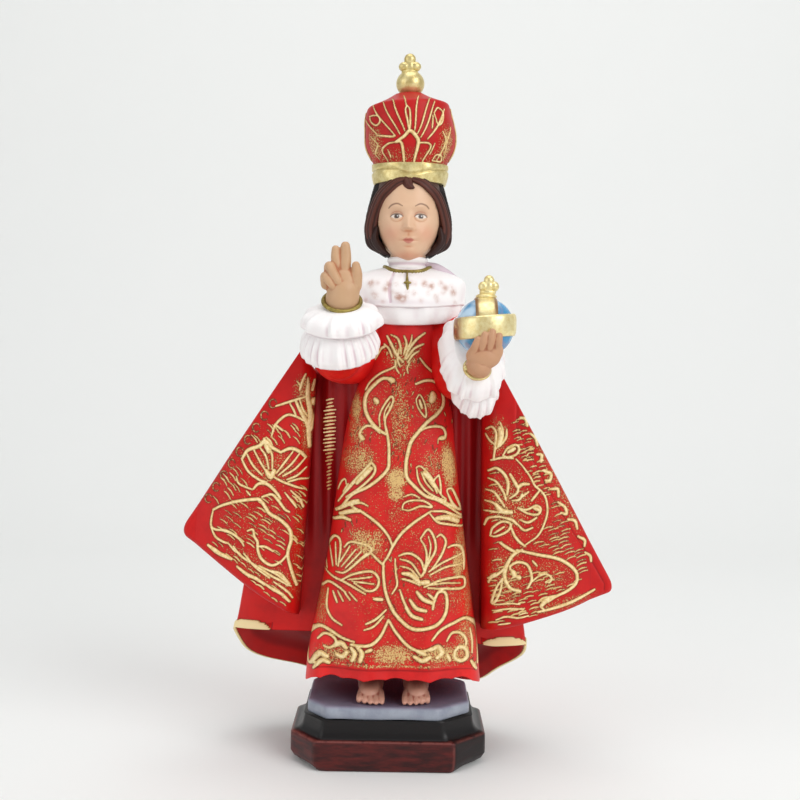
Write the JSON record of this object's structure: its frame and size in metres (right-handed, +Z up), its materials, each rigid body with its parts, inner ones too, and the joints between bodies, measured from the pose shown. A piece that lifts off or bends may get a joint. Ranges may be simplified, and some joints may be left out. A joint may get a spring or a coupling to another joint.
{
  "type": "infant of prague statue",
  "caption": "Painted plaster statuette of a crowned child in an embroidered mantle, holding an orb, on a lacquered plinth.",
  "frame": {"origin": "centre of the plinth's underside", "axes": "+Z up, the figure faces -Y, +X to the viewer's right"},
  "size_m": [0.1245, 0.0711, 0.2084],
  "materials": {
    "painted_plaster": "cast plaster painted in satin scarlet with antique gold embroidery, white collar and cuffs, flesh, brown hair and a blue orb",
    "lacquered_plinth": "cast plaster lacquered mahogany brown and black, with worn lighter edges"
  },
  "bodies": {
    "root": {"figure": "painted_plaster", "plinth": "lacquered_plinth"}
  },
  "joints": []
}
